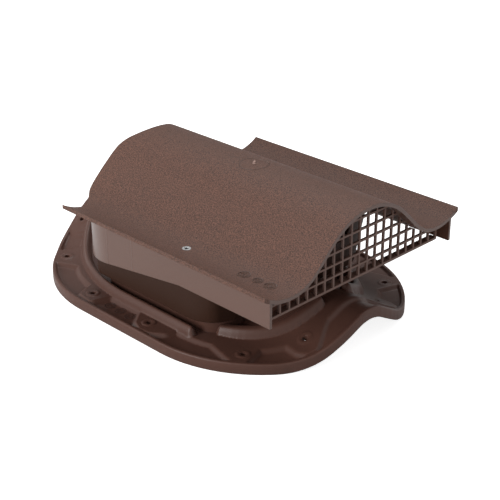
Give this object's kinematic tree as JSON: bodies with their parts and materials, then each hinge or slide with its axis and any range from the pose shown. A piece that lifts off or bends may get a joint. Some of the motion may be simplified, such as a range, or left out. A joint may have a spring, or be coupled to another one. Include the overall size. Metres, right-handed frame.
{
  "type": "roof tile vent",
  "caption": "Roof vent with an egg shaped fixing flange, a short duct on its collar, a wave shaped hood that matches the roof sheet and a square mesh under the hood's front edge.",
  "frame": {"origin": "middle of the box round the vent, at the underside of the flange's rim", "axes": "+X across the roof, +Y up the slope (the mesh faces -Y), +Z away from the roof"},
  "size_m": [0.257, 0.363, 0.1325],
  "materials": {
    "flange_plastic": "satin moulded brown",
    "duct_plastic": "smooth moulded brown",
    "hood_plastic": "grained brown on top, smooth on the skirt",
    "grille_plastic": "satin moulded brown",
    "screw_steel": "zinc plated"
  },
  "bodies": {
    "root": {"flange_base": "flange_plastic", "inner_duct": "duct_plastic", "hood": "hood_plastic", "outlet_grille": "grille_plastic", "hood_screws": "screw_steel"}
  },
  "joints": []
}
